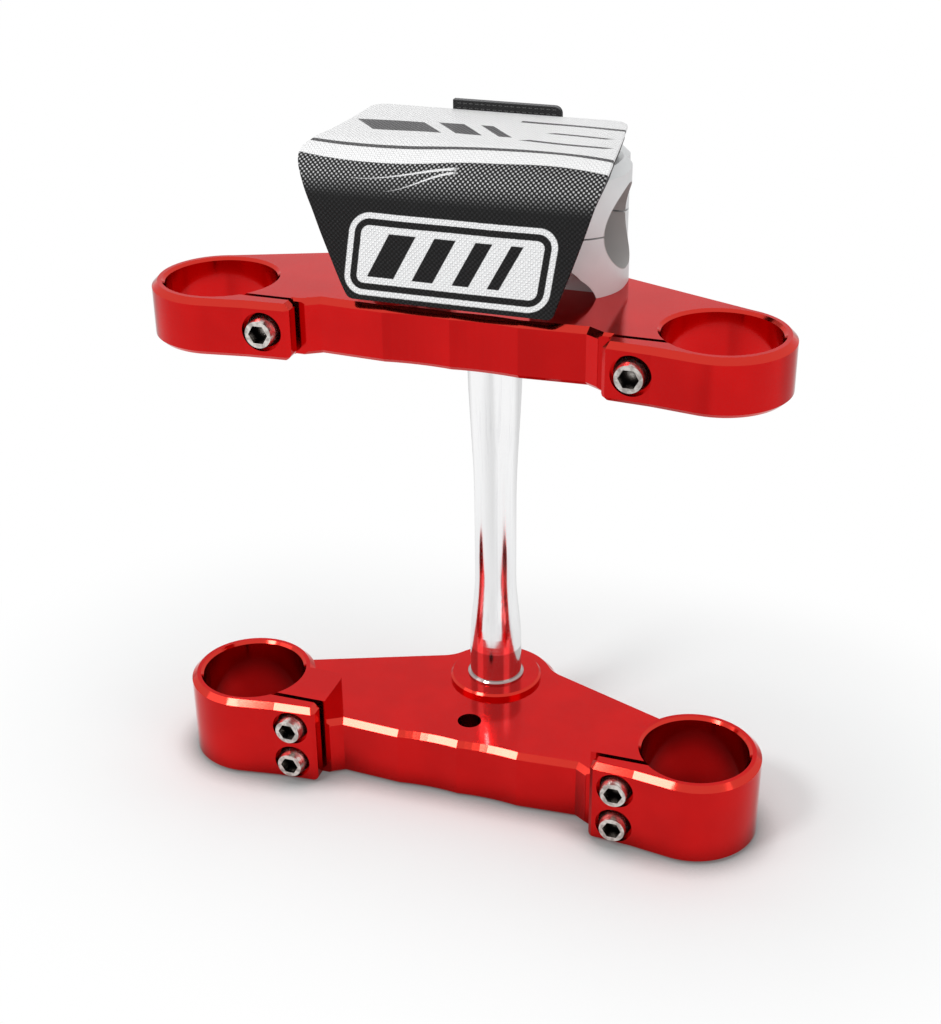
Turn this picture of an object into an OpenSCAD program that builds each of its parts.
/* [Fork clamps] */
// Diameter of the fork tubes that both clamps hold
fork_d = 39; // [36:0.5:43]
// Distance between the two fork tubes, centre to centre
fork_spacing = 175; // [170:1:190]
// Distance from the steering axis forward to the line of the fork tubes
fork_offset = 37; // [34:0.5:40]
// Wall of the ring around each fork tube
ring_wall = 4.5; // [4:0.25:6]
// Bevel along the outer top edges
edge_bevel = 2; // [1:0.25:2.5]
// Bevel along the outer bottom edges
foot_bevel = 1.5; // [0.5:0.25:2]
// Bevel at the mouths of the fork bores
mouth_bevel = 1; // [0.5:0.25:1.5]
// Width of the slit that lets a ring close on its tube
slit_w = 2; // [1.5:0.25:2.5]
// Distance from the line of the fork tubes forward to the middle of the slit
slit_offset = 14; // [13.5:0.25:14.5]
// Thickness of the ear in front of the slit, at its inner end
ear_t = 5.6; // [5:0.2:7]
// Distance from the inner end of each ear to the middle of its pinch bolts
ear_end = 9.7; // [8.5:0.1:11]

/* [Upper clamp] */
// Thickness of the upper clamp
upper_h = 20; // [18:0.5:24]
// Distance from the foot of the lower bearing seat up to the underside of the upper clamp
clamp_gap = 146.5; // [135:0.5:165]

/* [Lower clamp] */
// Height of the rings of the lower clamp
lower_h = 33.3; // [31:0.5:38]
// Depth of the plate below the tops of its rings
plate_drop = 9; // [7:0.5:11]
// Radius of the collar around the foot of the stem
collar_r = 17.8; // [16:0.2:20]
// Height of the collar above the plate
collar_h = 2.3; // [1.5:0.1:3]
// Diameter of the hole for the mudguard bracket
bracket_hole_d = 9; // [7:0.5:10]
// Distance from the line of the fork tubes back to that hole
bracket_hole_y = 4; // [2:0.5:6]

/* [Steering stem] */
// Diameter of the stem at both bearing seats
stem_seat_d = 20; // [19:0.1:21]
// Diameter of the stem at its waist
stem_waist_d = 15.8; // [14.5:0.1:17]
// Diameter of the hole along the stem
stem_hole_d = 9; // [7:0.5:10]
// Length of each bearing seat
seat_len = 12; // [10:0.5:16]
// Diameter of the stem inside the upper clamp
stem_top_d = 18; // [17:0.1:18.4]
// Thread diameter of the bolt in the top of the stem
stem_bolt_d = 12; // [11:0.5:13]

/* [Pinch bolts] */
// Thread diameter of the pinch bolts
pinch_d = 8; // [7.5:0.5:8]
// Metal left between a pinch bolt and its fork tube
pinch_clear = 0.8; // [0.5:0.1:1.2]
// Length of a pinch bolt under its head
pinch_len = 20; // [18:1:22]
// Height of the tapered heads
pinch_head_h = 7; // [6:0.5:8]
// Diameter of the heads at their foot
pinch_head_d = 12.4; // [11.5:0.1:13]
// Diameter of the flat counterbore under each head
pinch_seat_d = 13.8; // [13.4:0.1:14.2]
// Distance between the two pinch bolts of a lower ring
pinch_pitch = 15.4; // [14.6:0.1:16]

/* [Bar clamps] */
// Diameter of the handlebar
bar_d = 28.6; // [28:0.1:29]
// Height of the handlebar's middle above the upper clamp
bar_rise = 20.7; // [20:0.1:23]
// Distance from the steering axis forward to the handlebar
bar_offset = 4.2; // [2:0.2:6]
// Distance from the middle of the part to the round of each post
post_x = 28; // [27:0.5:30]
// Radius of the round outer side of a post
post_r = 20; // [19.8:0.1:21]
// Straight stretch between the front and back rounds of a post
post_straight = 3.6; // [3:0.2:5]
// Width of a post from its flat inner side to its outermost point
post_w = 28; // [26:0.5:32]
// Height of the caps above the middle of the handlebar
cap_h = 21.8; // [20.5:0.1:24]
// Gap between a cap and its riser
cap_gap = 0.6; // [0.4:0.1:1]
// Thread diameter of the cap bolts
cap_bolt_d = 6; // [5.5:0.5:6]
// Radius of the arched relief at the foot of a riser
arch_r = 12.3; // [10:0.1:12.6]

/* [Bar pad] */
// Half of the pad's width at its bottom edge
pad_low_x = 35.3; // [31:0.5:39]
// Half of the pad's width at its front bend
pad_bend_x = 52.5; // [50:0.5:56]
// Half of the pad's width at its back edge
pad_back_x = 44.6; // [42:0.5:48]
// Outer radius of the pad's bend
pad_bend_r = 18.5; // [14:0.5:22]
// Thickness of the woven cover
cover_t = 1.2; // [0.8:0.1:1.6]
// Thickness of the foam lining
foam_t = 4; // [3:0.25:5]
// Distance from the steering axis forward to the pad's front
pad_front = 49.5; // [47:0.5:52]
// Distance from the steering axis back to the pad's back edge
pad_back = 5.5; // [4:0.5:8]
// Height of the pad's bottom edge above the upper clamp
pad_clear = 2; // [1:0.5:4]
// Height of the pad's top above the caps
pad_rise = 9; // [8:0.25:11]
// Width of the closing strap
strap_w = 38.4; // [30:0.4:42]
// Thickness of the closing strap
strap_t = 2.4; // [1.8:0.1:3]

/* [Hidden] */
$fn = 64;

// The origin is on the steering axis, at the foot of the lower bearing seat.
// Z runs up the stem, -Y points forward, and left and right are as seen from the front.
red = [0.75, 0.08, 0.07];
silver = [0.85, 0.85, 0.86];
steel = [0.62, 0.6, 0.57];
black = [0.08, 0.08, 0.08];

fork_x = fork_spacing/2;
fork_y = -fork_offset;
bore_r = fork_d/2;
ring_r = bore_r + ring_wall;
seat_flange_h = 1.2;
collar_top = -seat_flange_h;
plate_z = collar_top - collar_h;
lower_top = plate_z + plate_drop;
lower_bottom = lower_top - lower_h;
upper_bottom = clamp_gap;
upper_top = upper_bottom + upper_h;
pinch_x = fork_x - bore_r - pinch_d/2 - pinch_clear;
ear_x = pinch_x - ear_end;
slit_y = fork_y - slit_offset;
slit_back = slit_y + slit_w/2;
ear_front = slit_y - slit_w/2 - ear_t;
ear_edge = 0.65*max(edge_bevel, foot_bevel);
ear_knee_x = fork_x - 18;
ear_knee_y = fork_y - ring_r + 2.4;
ear_join_x = fork_x - 3;
ear_join_y = fork_y - ring_r + 0.2;
ear_middle = [(ear_x + fork_x)/2, (ear_front + fork_y)/2];
ear_round = 4.5;
collar_edge = 0.8;
fit_gap = 0.03;

// Front of both clamps, as distances ahead of the line of the fork tubes
front_mid = 11.6;
front_corner = 11.9;
front_end = 10.6;
front_corner_x = 23.5;
front_end_x = ear_x - 7.5;
front_bow = 0.8;
shoulder_x = ear_x - 2;
// Back of both clamps: the boss round the stem, how far inside it the straight edge
// from the ring would pass the steering axis, and the angle of that edge
boss_r = 24;
back_gap = 2.355;
back_angle = atan2(-fork_y, fork_x) + asin((boss_r - back_gap - ring_r)/norm([fork_x, fork_y]));
boss_fillet = 12;
// How far inside its rings each clamp's back edge runs
upper_back_inset = 0.15;
lower_back_inset = 3.6;
block_x = ear_x - 1.5;
block_back = 7;
block_round = 4;

// Pinch bolts
pinch_seat = ear_front + 3.5;
pinch_tip_d = 9.4;
pinch_rim = 1.5;
pinch_hex = 6;
pinch_hex_deep = 4.5;
pinch_hole_spare = 1.5;
upper_pinch_z = (upper_top + upper_bottom)/2;
lower_pinch_z = [for (s = [1, -1]) (lower_top + lower_bottom)/2 - 0.4 + s*pinch_pitch/2];

// Steering stem
seat_flange_r = stem_seat_d/2 + 1;
seat_flange_edge = 0.6;
waist_low = 0.3*clamp_gap;
waist_high = 0.5*clamp_gap;
stem_socket_r = stem_seat_d/2;
stem_spigot_r = stem_socket_r - fit_gap;
clip_groove = 1.2;
clip_t = 1.2;
clip_recess_r = stem_socket_r + 3.5;
clip_recess_h = 3;
washer_r = 14;
washer_t = 1.2;
stem_bolt_len = 26;
stem_bolt_head_r = 11.5;
stem_bolt_head_h = bar_rise - bar_d/2 - washer_t - 0.9;
stem_bolt_edge = 0.8;
stem_bolt_hex = 10;
stem_bolt_hex_deep = 0.7*stem_bolt_head_h;

// Bar clamps
bar_r = bar_d/2;
bar_y = -bar_offset;
bar_z = upper_top + bar_rise;
cap_top = bar_z + cap_h;
post_outer = post_x + post_r;
post_inner = post_outer - post_w;
post_half = post_r + post_straight/2;
cap_bolt_reach = (bar_r + post_half)/2;
cap_bolt_seat_d = cap_bolt_d + 4.6;
cap_bolt_head_d = cap_bolt_d + 4;
cap_bolt_head_h = cap_bolt_d;
cap_bolt_seat_z = cap_top - cap_bolt_head_h - 1;
cap_bolt_tip_z = bar_z - 7;
cap_bolt_hex = 5;
cap_bolt_hex_deep = 3;
cap_edge = 3;
// Rounded column that stands out behind the bore, round the rear cap bolt
rear_column_x = post_x + 8.3;
rear_column_y = bar_y + cap_bolt_reach;
rear_column_r = 7.4;
// Places of the cap bolts: the front one in the post's round, the rear one in the column
cap_bolt_front = [post_x + 1, bar_y - cap_bolt_reach];
cap_bolt_rear = [rear_column_x - 1, rear_column_y];
riser_screw_x = post_outer - post_w/2;
riser_screw_d = 8;
riser_screw_head_d = 15;
riser_screw_head_h = 3.6;
riser_screw_hex = 5;
riser_screw_hex_deep = 2.6;
riser_screw_z = bar_z - bar_r - 0.8 - riser_screw_head_h;
arch_x = post_x + 2;
arch_rim = 2.3;
arch_drop = 3;
arch_deep = 11;

// Bar pad
pad_low_z = upper_top + pad_clear;
pad_top_z = cap_top + pad_rise;
pad_slope = 1.3;
pad_bend_z = pad_top_z - pad_bend_r/2 + 2.7;
pad_corner = 5;
foam_side = 44;
foam_end = 0.6;
foam_lift = 0.02;
foam_rest_y = -20;
strap_x = 2.5;
strap_clear = 1;
strap_stand = 3.2;
strap_round = 1.6;

function mirrored(p) = [for (i = [len(p) - 1:-1:0]) [-p[i][0], p[i][1]]];
function arc(c, r, a0, a1, n) = [for (i = [0:n]) c + r*[cos(a0 + (a1 - a0)*i/n), sin(a0 + (a1 - a0)*i/n)]];
function bowed(p, q, s, n) = [for (i = [0:n - 1]) p + (q - p)*i/n + [0, 4*s*(i/n)*(1 - i/n)]];
function unit(v) = v/norm(v);
// Points of a turned outline that blends from one radius and height to another
function eased(ra, za, rb, zb, n) =
    [for (i = [0:n]) [ra + (rb - ra)*(1 - cos(180*i/n))/2, za + (zb - za)*i/n]];

// Moves every side of a counter-clockwise outline inwards by d
function inset(p, d) = [
    for (i = [0:len(p) - 1])
        let (
            a = unit(p[i] - p[(i + len(p) - 1) % len(p)]),
            b = unit(p[(i + 1) % len(p)] - p[i]),
            na = [-a[1], a[0]],
            nb = [-b[1], b[0]]
        )
        p[i] + d*(na + nb)/(1 + na*nb)
];

// Half outline of a clamp's plate, from its front middle round to its back middle
function half_plate(back_d) =
    let (
        n = [sin(back_angle), cos(back_angle)],
        s = [cos(back_angle), -sin(back_angle)],
        ring = [fork_x, fork_y],
        c = ring*n + back_d,
        f = n*(c + boss_fillet) + s*sqrt(pow(boss_r + boss_fillet, 2) - pow(c + boss_fillet, 2)),
        to_boss = atan2(f[1], f[0])
    )
    concat(
        bowed([0, fork_y - front_mid], [front_corner_x, fork_y - front_corner], front_bow, 8),
        [
            [front_corner_x, fork_y - front_corner],
            [front_end_x, fork_y - front_end],
            [shoulder_x, slit_y],
            [fork_x, slit_y],
            ring,
            ring + n*back_d
        ],
        arc(f, boss_fillet, 270 - back_angle, 180 + to_boss, 10),
        arc([0, 0], boss_r, to_boss + 2, 90, 24)
    );

function plate(back_d) =
    let (half = half_plate(back_d), left = mirrored(half))
    concat(half, [for (i = [1:len(left) - 2]) left[i]]);

// Outline of an ear, from the ring's middle to its front
function ear() = [
    [fork_x, fork_y],
    [ear_x, fork_y],
    [ear_x, ear_front + ear_edge],
    [ear_x + ear_edge, ear_front],
    [ear_knee_x, ear_knee_y],
    [ear_join_x, ear_join_y]
];

// Prism on an outline, with bevels along its bottom and top edges. Its two ends are made of
// triangles that meet at middle, a point from which the whole outline is in view.
module bevelled(p, middle, z0, z1, low, high) {
    n = len(p);
    points = concat(
        [for (v = inset(p, low)) [v[0], v[1], z0]],
        [for (v = p) [v[0], v[1], z0 + low]],
        [for (v = p) [v[0], v[1], z1 - high]],
        [for (v = inset(p, high)) [v[0], v[1], z1]],
        [for (z = [z0, z1]) [middle[0], middle[1], z]]
    );
    polyhedron(points, concat(
        [for (i = [0:n - 1]) [i, (i + 1) % n, 4*n]],
        [
            for (k = [0:2], i = [0:n - 1])
                let (a = k*n, b = a + n, j = (i + 1) % n)
                [a + i, b + i, b + j, a + j]
        ],
        [for (i = [0:n - 1]) [3*n + (i + 1) % n, 3*n + i, 4*n + 1]]
    ));
}

module ring(z0, z1) {
    translate([fork_x, fork_y, 0]) rotate_extrude($fn = 128) polygon([
        [bore_r - 1, z0], [ring_r - foot_bevel, z0], [ring_r, z0 + foot_bevel],
        [ring_r, z1 - edge_bevel], [ring_r - edge_bevel, z1], [bore_r - 1, z1]
    ]);
}

module fork_bore(z0, z1) {
    translate([fork_x, fork_y, z0 - 1]) cylinder(r = bore_r, h = z1 - z0 + 2, $fn = 128);
    h = 2*mouth_bevel;
    translate([fork_x, fork_y, z1 - mouth_bevel]) cylinder(r1 = bore_r, r2 = bore_r + h, h = h, $fn = 128);
    translate([fork_x, fork_y, z0 - mouth_bevel]) cylinder(r1 = bore_r + h, r2 = bore_r, h = h, $fn = 128);
}

module slit(z0, z1) {
    from = ear_x - 3;
    translate([from, slit_y - slit_w/2, z0 - 1]) cube([fork_x - bore_r/2 - from, slit_w, z1 - z0 + 2]);
}

// Rounds the lower inner corner of an ear
module ear_corner(z0) {
    r = ear_round;
    side = r + 0.6;
    translate([ear_x - 1, ear_front - 3, z0 - 1]) difference() {
        cube([side, ear_t + 3 + slit_w/2, side]);
        translate([side, -1, side]) rotate([-90, 0, 0]) cylinder(r = r, h = ear_t + 6);
    }
}

module along_y(x, y, z) {
    translate([x, y, z]) rotate([-90, 0, 0]) children();
}

module pinch_hole(z) {
    along_y(pinch_x, ear_front - 5, z) cylinder(d = pinch_seat_d, h = pinch_seat - ear_front + 5);
    along_y(pinch_x, pinch_seat - 1, z) cylinder(d = pinch_d + 0.1, h = pinch_len + pinch_hole_spare + 1);
}

module both_sides() {
    children();
    mirror([1, 0, 0]) children();
}

module upper_clamp() {
    back = ring_r - upper_back_inset;
    color(red) difference() {
        union() {
            bevelled(plate(back), [0, 0], upper_bottom, upper_top, foot_bevel, edge_bevel);
            both_sides() {
                ring(upper_bottom, upper_top);
                bevelled(ear(), ear_middle, upper_bottom, upper_top, foot_bevel, edge_bevel);
            }
        }
        both_sides() {
            fork_bore(upper_bottom, upper_top);
            slit(upper_bottom, upper_top);
            ear_corner(upper_bottom);
            pinch_hole(upper_pinch_z);
            translate([riser_screw_x, bar_y, upper_bottom - 1])
                cylinder(d = riser_screw_d + 0.1, h = upper_h + 2);
        }
        translate([0, 0, upper_bottom - 1]) cylinder(d = stem_top_d + 2*fit_gap, h = upper_h + 2);
    }
}

module block() {
    r = block_round;
    translate([0, 0, lower_bottom + foot_bevel]) linear_extrude(lower_h - foot_bevel) polygon(concat(
        [[block_x, slit_y], [fork_x, slit_y], [fork_x, fork_y + block_back]],
        arc([block_x + r, fork_y + block_back - r], r, 90, 180, 8)
    ));
}

module lower_clamp() {
    back = ring_r - lower_back_inset;
    color(red) difference() {
        union() {
            bevelled(plate(back), [0, 0], lower_bottom, plate_z, foot_bevel, edge_bevel);
            translate([0, 0, plate_z - 1]) cylinder(r = collar_r, h = collar_h + 1 - collar_edge, $fn = 96);
            translate([0, 0, collar_top - collar_edge])
                cylinder(r1 = collar_r, r2 = collar_r - collar_edge, h = collar_edge, $fn = 96);
            both_sides() {
                ring(lower_bottom, lower_top);
                bevelled(ear(), ear_middle, lower_bottom, lower_top, foot_bevel, edge_bevel);
                block();
            }
        }
        both_sides() {
            fork_bore(lower_bottom, lower_top);
            slit(lower_bottom, lower_top);
            ear_corner(lower_bottom);
            for (z = lower_pinch_z) pinch_hole(z);
        }
        translate([0, fork_y + bracket_hole_y, lower_bottom - 1]) cylinder(d = bracket_hole_d, h = lower_h);
        translate([0, 0, lower_bottom - 1]) cylinder(r = stem_socket_r, h = 2 - lower_bottom, $fn = 96);
        translate([0, 0, lower_bottom - 1]) cylinder(r = clip_recess_r, h = clip_recess_h + 1);
    }
}

module steering_stem() {
    seat_r = stem_seat_d/2;
    waist_r = stem_waist_d/2;
    top_r = stem_top_d/2;
    foot = lower_bottom + 0.6;
    groove = lower_bottom + clip_recess_h - clip_t;
    seat_end = clamp_gap - seat_len;
    color(silver) difference() {
        rotate_extrude($fn = 96) polygon(concat(
            [
                [0, foot], [stem_spigot_r - 0.8, foot], [stem_spigot_r, foot + 0.8],
                [stem_spigot_r, groove], [stem_spigot_r - clip_groove, groove],
                [stem_spigot_r - clip_groove, groove + clip_t], [stem_spigot_r, groove + clip_t],
                [stem_spigot_r, collar_top], [seat_flange_r, collar_top],
                [seat_flange_r, -seat_flange_edge], [seat_flange_r - seat_flange_edge, 0], [seat_r, 0]
            ],
            eased(seat_r, seat_len, waist_r, waist_low, 10),
            eased(waist_r, waist_high, seat_r, seat_end, 12),
            [
                [seat_r, clamp_gap - 0.5], [seat_r - 0.5, clamp_gap], [top_r, clamp_gap],
                [top_r, upper_top - 0.7], [top_r - 0.5, upper_top - 0.2], [0, upper_top - 0.2]
            ]
        ));
        translate([0, 0, foot - 1]) cylinder(d = stem_hole_d, h = upper_top - foot + 2);
        translate([0, 0, upper_top - stem_bolt_len - 2])
            cylinder(d = stem_bolt_d + 0.1, h = stem_bolt_len + 4);
    }
}

module stem_circlip() {
    color(steel) translate([0, 0, lower_bottom + clip_recess_h - clip_t]) difference() {
        cylinder(r = clip_recess_r - 0.4, h = clip_t - 0.02);
        translate([0, 0, -1]) cylinder(r = stem_spigot_r - clip_groove + 0.1, h = clip_t + 2);
        translate([-3, 0, -1]) cube([6, clip_recess_r + 1, clip_t + 2]);
    }
}

module stem_washer() {
    color(steel) translate([0, 0, upper_top]) difference() {
        cylinder(r = washer_r, h = washer_t);
        translate([0, 0, -1]) cylinder(d = stem_bolt_d + 0.4, h = washer_t + 2);
    }
}

module stem_bolt() {
    color(steel) translate([0, 0, upper_top + washer_t]) difference() {
        union() {
            translate([0, 0, -stem_bolt_len]) cylinder(d = stem_bolt_d, h = stem_bolt_len);
            cylinder(r = stem_bolt_head_r, h = stem_bolt_head_h - stem_bolt_edge);
            translate([0, 0, stem_bolt_head_h - stem_bolt_edge])
                cylinder(r1 = stem_bolt_head_r, r2 = stem_bolt_head_r - stem_bolt_edge, h = stem_bolt_edge);
        }
        translate([0, 0, stem_bolt_head_h - stem_bolt_hex_deep])
            cylinder(d = stem_bolt_hex/cos(30), h = stem_bolt_hex_deep + 1, $fn = 6);
    }
}

// Socket screw with a tapered head, its head at the front and its tip at the back
module pinch_bolt(x, z) {
    color(steel) along_y(x, pinch_seat, z) difference() {
        union() {
            cylinder(d = pinch_d, h = pinch_len);
            translate([0, 0, -pinch_rim]) cylinder(d = pinch_head_d, h = pinch_rim);
            translate([0, 0, -pinch_head_h])
                cylinder(d1 = pinch_tip_d, d2 = pinch_head_d, h = pinch_head_h - pinch_rim);
        }
        translate([0, 0, -pinch_head_h - 1])
            cylinder(d = pinch_hex/cos(30), h = pinch_hex_deep + 1, $fn = 6);
    }
}

module upper_pinch_bolt_left() { pinch_bolt(-pinch_x, upper_pinch_z); }
module upper_pinch_bolt_right() { pinch_bolt(pinch_x, upper_pinch_z); }
module lower_pinch_bolt_left_top() { pinch_bolt(-pinch_x, lower_pinch_z[0]); }
module lower_pinch_bolt_left_bottom() { pinch_bolt(-pinch_x, lower_pinch_z[1]); }
module lower_pinch_bolt_right_top() { pinch_bolt(pinch_x, lower_pinch_z[0]); }
module lower_pinch_bolt_right_bottom() { pinch_bolt(pinch_x, lower_pinch_z[1]); }

// Column with the plan of a post, flat on its inner side
module post(z0, z1) {
    intersection() {
        union() {
            for (s = [-1, 1]) translate([post_x, bar_y + s*post_straight/2, z0])
                cylinder(r = post_r, h = z1 - z0, $fn = 96);
            translate([post_x - post_r, bar_y - post_straight/2, z0])
                cube([2*post_r, post_straight, z1 - z0]);
            translate([rear_column_x, rear_column_y, z0]) cylinder(r = rear_column_r, h = z1 - z0);
        }
        translate([post_inner, bar_y - post_half - 1, z0]) cube([post_w + 1, 2*post_half + 2, z1 - z0]);
    }
}

module bar_bore() {
    translate([post_inner - 1, bar_y, bar_z]) rotate([0, 90, 0])
        cylinder(r = bar_r, h = post_w + 2, $fn = 96);
}

module bar_riser() {
    sink_d = riser_screw_head_d + 2*fit_gap;
    color(silver) difference() {
        post(upper_top, bar_z - cap_gap/2);
        bar_bore();
        for (place = [cap_bolt_front, cap_bolt_rear]) translate([place[0], place[1], cap_bolt_tip_z - 1])
            cylinder(d = cap_bolt_d + 0.1, h = bar_z - cap_bolt_tip_z + 2);
        translate([riser_screw_x, bar_y, 0]) {
            translate([0, 0, upper_top - 1]) cylinder(d = riser_screw_d + 0.6, h = bar_rise);
            translate([0, 0, riser_screw_z])
                cylinder(d1 = riser_screw_d + 2*fit_gap, d2 = sink_d, h = riser_screw_head_h);
            translate([0, 0, riser_screw_z + riser_screw_head_h]) cylinder(d = sink_d, h = bar_rise);
        }
        along_y(arch_x, bar_y - post_half - 1, upper_top - arch_drop) cylinder(r = arch_r, h = arch_deep + 1);
        along_y(arch_x, bar_y - post_half, upper_top - arch_drop)
            cylinder(r1 = arch_r + arch_rim, r2 = arch_r, h = arch_rim);
    }
}

module bar_cap() {
    color(silver) difference() {
        union() {
            post(bar_z + cap_gap/2, cap_top - cap_edge);
            intersection() {
                post(cap_top - cap_edge - 1, cap_top);
                hull() for (s = [-1, 1]) translate([post_x, bar_y + s*post_straight/2, cap_top - cap_edge])
                    cylinder(r1 = post_r, r2 = post_r - cap_edge, h = cap_edge);
            }
            translate([rear_column_x, rear_column_y, cap_top - cap_edge])
                cylinder(r1 = rear_column_r, r2 = rear_column_r - cap_edge, h = cap_edge);
        }
        bar_bore();
        for (place = [cap_bolt_front, cap_bolt_rear]) translate([place[0], place[1], 0]) {
            translate([0, 0, bar_z - 1]) cylinder(d = cap_bolt_d + 0.4, h = cap_h + 2);
            translate([0, 0, cap_bolt_seat_z]) cylinder(d = cap_bolt_seat_d, h = cap_h);
        }
    }
}

module bar_riser_left() { mirror([1, 0, 0]) bar_riser(); }
module bar_riser_right() { bar_riser(); }
module bar_cap_left() { mirror([1, 0, 0]) bar_cap(); }
module bar_cap_right() { bar_cap(); }

module cap_bolt(x, y) {
    color(steel) translate([x, y, cap_bolt_seat_z]) difference() {
        union() {
            translate([0, 0, cap_bolt_tip_z - cap_bolt_seat_z])
                cylinder(d = cap_bolt_d, h = cap_bolt_seat_z - cap_bolt_tip_z);
            cylinder(d = cap_bolt_head_d, h = cap_bolt_head_h - 0.5);
            translate([0, 0, cap_bolt_head_h - 0.5])
                cylinder(d1 = cap_bolt_head_d, d2 = cap_bolt_head_d - 1, h = 0.5);
        }
        translate([0, 0, cap_bolt_head_h - cap_bolt_hex_deep])
            cylinder(d = cap_bolt_hex/cos(30), h = cap_bolt_hex_deep + 1, $fn = 6);
    }
}

module cap_bolt_left_front() { cap_bolt(-cap_bolt_front[0], cap_bolt_front[1]); }
module cap_bolt_left_rear() { cap_bolt(-cap_bolt_rear[0], cap_bolt_rear[1]); }
module cap_bolt_right_front() { cap_bolt(cap_bolt_front[0], cap_bolt_front[1]); }
module cap_bolt_right_rear() { cap_bolt(cap_bolt_rear[0], cap_bolt_rear[1]); }

// Countersunk screw that holds a riser down, its head sunk below the handlebar
module riser_screw(x) {
    tip = upper_bottom + 1;
    color(steel) translate([x, bar_y, 0]) difference() {
        union() {
            translate([0, 0, tip]) cylinder(d = riser_screw_d, h = riser_screw_z - tip);
            translate([0, 0, riser_screw_z])
                cylinder(d1 = riser_screw_d, d2 = riser_screw_head_d, h = riser_screw_head_h);
        }
        translate([0, 0, riser_screw_z + riser_screw_head_h - riser_screw_hex_deep])
            cylinder(d = riser_screw_hex/cos(30), h = riser_screw_hex_deep + 1, $fn = 6);
    }
}

module riser_screw_left() { riser_screw(-riser_screw_x); }
module riser_screw_right() { riser_screw(riser_screw_x); }

// Side view of the bent pad, between two depths below its outer face
module pad_profile(from, to) {
    front = -pad_front;
    r = pad_bend_r;
    top = pad_top_z;
    line = function (d) concat(
        [[front + d, pad_low_z]],
        arc([front + r, top - r], r - d, 180, 90, 16),
        [[pad_back, top + pad_slope - d]]
    );
    inner = line(to);
    polygon(concat(line(from), [for (i = [len(inner) - 1:-1:0]) inner[i]]));
}

// Trims a pad layer to its front and top outlines, less an end allowance
module pad_trim(from, to, less) {
    high = pad_top_z + 10;
    reach = 2*pad_bend_x;
    intersection() {
        rotate([90, 0, 90]) translate([0, 0, -reach]) linear_extrude(2*reach) pad_profile(from, to);
        translate([0, reach, 0]) rotate([90, 0, 0]) linear_extrude(2*reach) polygon([
            [-pad_low_x + less, pad_low_z - 1], [pad_low_x - less, pad_low_z - 1],
            [pad_bend_x - less, pad_bend_z], [pad_bend_x - less, high],
            [-pad_bend_x + less, high], [-pad_bend_x + less, pad_bend_z]
        ]);
        translate([0, 0, pad_low_z - 5]) linear_extrude(high - pad_low_z + 5) polygon([
            [-pad_bend_x + less, -pad_front - 1], [pad_bend_x - less, -pad_front - 1],
            [pad_bend_x - less, -pad_front + pad_corner], [pad_back_x - less, pad_back],
            [-pad_back_x + less, pad_back], [-pad_bend_x + less, -pad_front + pad_corner]
        ]);
    }
}

module pad_cover() {
    color([0.12, 0.12, 0.12]) pad_trim(0, cover_t, 0);
}

module pad_foam() {
    color([0.35, 0.35, 0.35]) union() {
        pad_trim(cover_t, cover_t + foam_t, foam_end);
        translate([-foam_side, foam_rest_y, cap_top + foam_lift])
            cube([2*foam_side, pad_back - 3 - foam_rest_y, pad_rise - cover_t - foam_lift - 1]);
    }
}

module pad_strap() {
    high = pad_top_z + pad_slope + strap_stand;
    low = cap_top + strap_clear;
    color(black) translate([strap_x - strap_w/2, pad_back, 0]) rotate([90, 0, 0]) mirror([0, 0, 1])
        linear_extrude(strap_t) union() {
            translate([0, low]) square([strap_w - strap_round, high - low]);
            translate([0, low + strap_round]) square([strap_w, high - low - 2*strap_round]);
            for (z = [low + strap_round, high - strap_round])
                translate([strap_w - strap_round, z]) circle(r = strap_round);
        }
}

upper_clamp();
lower_clamp();
steering_stem();
stem_bolt();
stem_washer();
stem_circlip();
upper_pinch_bolt_left();
upper_pinch_bolt_right();
lower_pinch_bolt_left_top();
lower_pinch_bolt_left_bottom();
lower_pinch_bolt_right_top();
lower_pinch_bolt_right_bottom();
bar_riser_left();
bar_riser_right();
bar_cap_left();
bar_cap_right();
cap_bolt_left_front();
cap_bolt_left_rear();
cap_bolt_right_front();
cap_bolt_right_rear();
riser_screw_left();
riser_screw_right();
pad_cover();
pad_foam();
pad_strap();
